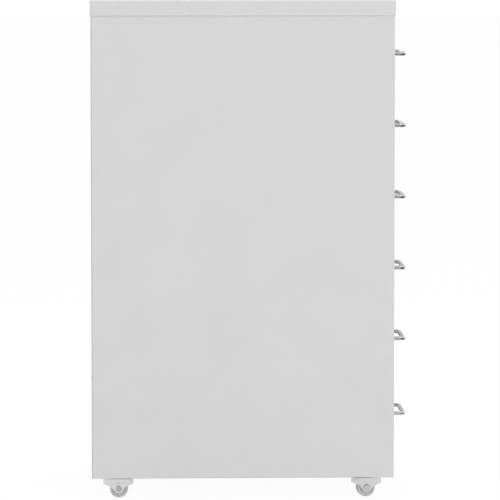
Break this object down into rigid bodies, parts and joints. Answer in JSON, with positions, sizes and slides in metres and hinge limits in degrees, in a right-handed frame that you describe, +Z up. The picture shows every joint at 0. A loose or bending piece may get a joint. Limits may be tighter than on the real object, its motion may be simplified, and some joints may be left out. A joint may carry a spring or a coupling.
{
  "type": "drawer cabinet",
  "caption": "Tall narrow sheet-steel drawer cabinet on small swivel casters, with bow handles on flush drawer fronts and a folded lid.",
  "frame": {"origin": "on the floor, under the middle of the whole outline, handles included", "axes": "+Z up, -Y towards the drawer fronts, +X to the right of someone who stands in front"},
  "size_m": [0.282, 0.4416, 0.69],
  "materials": {
    "body_paint": "light grey powder coat, fine orange peel, satin",
    "zinc_plate": "bright zinc plating on pressed steel",
    "chrome_bar": "polished chrome plating",
    "wheel_plastic": "mid grey moulded plastic",
    "ball_steel": "bright steel balls"
  },
  "bodies": {
    "cabinet": {"side_panel_left": "body_paint", "side_panel_right": "body_paint", "back_panel": "body_paint", "top_lid": "body_paint", "top_rail": "body_paint", "base_rail": "body_paint", "base_pan": "body_paint", "carcass_rivets": "zinc_plate", "caster_plates": "zinc_plate", "caster_screws": "zinc_plate", "kingpins": "zinc_plate", "caster_balls": "ball_steel", "runner_left_1": "zinc_plate", "runner_left_2": "zinc_plate", "runner_left_3": "zinc_plate", "runner_left_4": "zinc_plate", "runner_left_5": "zinc_plate", "runner_left_6": "zinc_plate", "runner_right_1": "zinc_plate", "runner_right_2": "zinc_plate", "runner_right_3": "zinc_plate", "runner_right_4": "zinc_plate", "runner_right_5": "zinc_plate", "runner_right_6": "zinc_plate"},
    "drawer_1": {"drawer_box_1": "body_paint", "drawer_front_1": "body_paint", "handle_1": "chrome_bar", "handle_screws_1": "zinc_plate"},
    "drawer_2": {"drawer_box_2": "body_paint", "drawer_front_2": "body_paint", "handle_2": "chrome_bar", "handle_screws_2": "zinc_plate"},
    "drawer_3": {"drawer_box_3": "body_paint", "drawer_front_3": "body_paint", "handle_3": "chrome_bar", "handle_screws_3": "zinc_plate"},
    "drawer_4": {"drawer_box_4": "body_paint", "drawer_front_4": "body_paint", "handle_4": "chrome_bar", "handle_screws_4": "zinc_plate"},
    "drawer_5": {"drawer_box_5": "body_paint", "drawer_front_5": "body_paint", "handle_5": "chrome_bar", "handle_screws_5": "zinc_plate"},
    "drawer_6": {"drawer_box_6": "body_paint", "drawer_front_6": "body_paint", "handle_6": "chrome_bar", "handle_screws_6": "zinc_plate"},
    "caster_front_left": {"caster_fork_front_left": "zinc_plate", "caster_axle_front_left": "zinc_plate"},
    "wheel_front_left": {"caster_wheel_front_left": "wheel_plastic"},
    "caster_front_right": {"caster_fork_front_right": "zinc_plate", "caster_axle_front_right": "zinc_plate"},
    "wheel_front_right": {"caster_wheel_front_right": "wheel_plastic"},
    "caster_rear_left": {"caster_fork_rear_left": "zinc_plate", "caster_axle_rear_left": "zinc_plate"},
    "wheel_rear_left": {"caster_wheel_rear_left": "wheel_plastic"},
    "caster_rear_right": {"caster_fork_rear_right": "zinc_plate", "caster_axle_rear_right": "zinc_plate"},
    "wheel_rear_right": {"caster_wheel_rear_right": "wheel_plastic"}
  },
  "joints": [
    {"name": "drawer_1_slide", "type": "slide", "parent": "cabinet", "child": "drawer_1", "axis": [0, -1, 0], "range_m": [0, 0.3]},
    {"name": "drawer_2_slide", "type": "slide", "parent": "cabinet", "child": "drawer_2", "axis": [0, -1, 0], "range_m": [0, 0.3]},
    {"name": "drawer_3_slide", "type": "slide", "parent": "cabinet", "child": "drawer_3", "axis": [0, -1, 0], "range_m": [0, 0.3]},
    {"name": "drawer_4_slide", "type": "slide", "parent": "cabinet", "child": "drawer_4", "axis": [0, -1, 0], "range_m": [0, 0.3]},
    {"name": "drawer_5_slide", "type": "slide", "parent": "cabinet", "child": "drawer_5", "axis": [0, -1, 0], "range_m": [0, 0.3]},
    {"name": "drawer_6_slide", "type": "slide", "parent": "cabinet", "child": "drawer_6", "axis": [0, -1, 0], "range_m": [0, 0.3]},
    {"name": "swivel_front_left", "type": "hinge", "parent": "cabinet", "child": "caster_front_left", "pos_m": [-0.109, -0.16175, 0.025], "axis": [0, 0, 1], "continuous": true},
    {"name": "swivel_front_right", "type": "hinge", "parent": "cabinet", "child": "caster_front_right", "pos_m": [0.109, -0.16175, 0.025], "axis": [0, 0, 1], "continuous": true},
    {"name": "swivel_rear_left", "type": "hinge", "parent": "cabinet", "child": "caster_rear_left", "pos_m": [-0.109, 0.18325, 0.025], "axis": [0, 0, 1], "continuous": true},
    {"name": "swivel_rear_right", "type": "hinge", "parent": "cabinet", "child": "caster_rear_right", "pos_m": [0.109, 0.18325, 0.025], "axis": [0, 0, 1], "continuous": true},
    {"name": "roll_front_left", "type": "hinge", "parent": "caster_front_left", "child": "wheel_front_left", "pos_m": [-0.10916, -0.16076, 0.0125], "axis": [0.9877, 0.1564, 0], "continuous": true},
    {"name": "roll_front_right", "type": "hinge", "parent": "caster_front_right", "child": "wheel_front_right", "pos_m": [0.10916, -0.16076, 0.0125], "axis": [0.9877, -0.1564, 0], "continuous": true},
    {"name": "roll_rear_left", "type": "hinge", "parent": "caster_rear_left", "child": "wheel_rear_left", "pos_m": [-0.10905, 0.18225, 0.0125], "axis": [-0.9986, 0.0523, 0], "continuous": true},
    {"name": "roll_rear_right", "type": "hinge", "parent": "caster_rear_right", "child": "wheel_rear_right", "pos_m": [0.10905, 0.18225, 0.0125], "axis": [-0.9986, -0.0523, 0], "continuous": true}
  ]
}
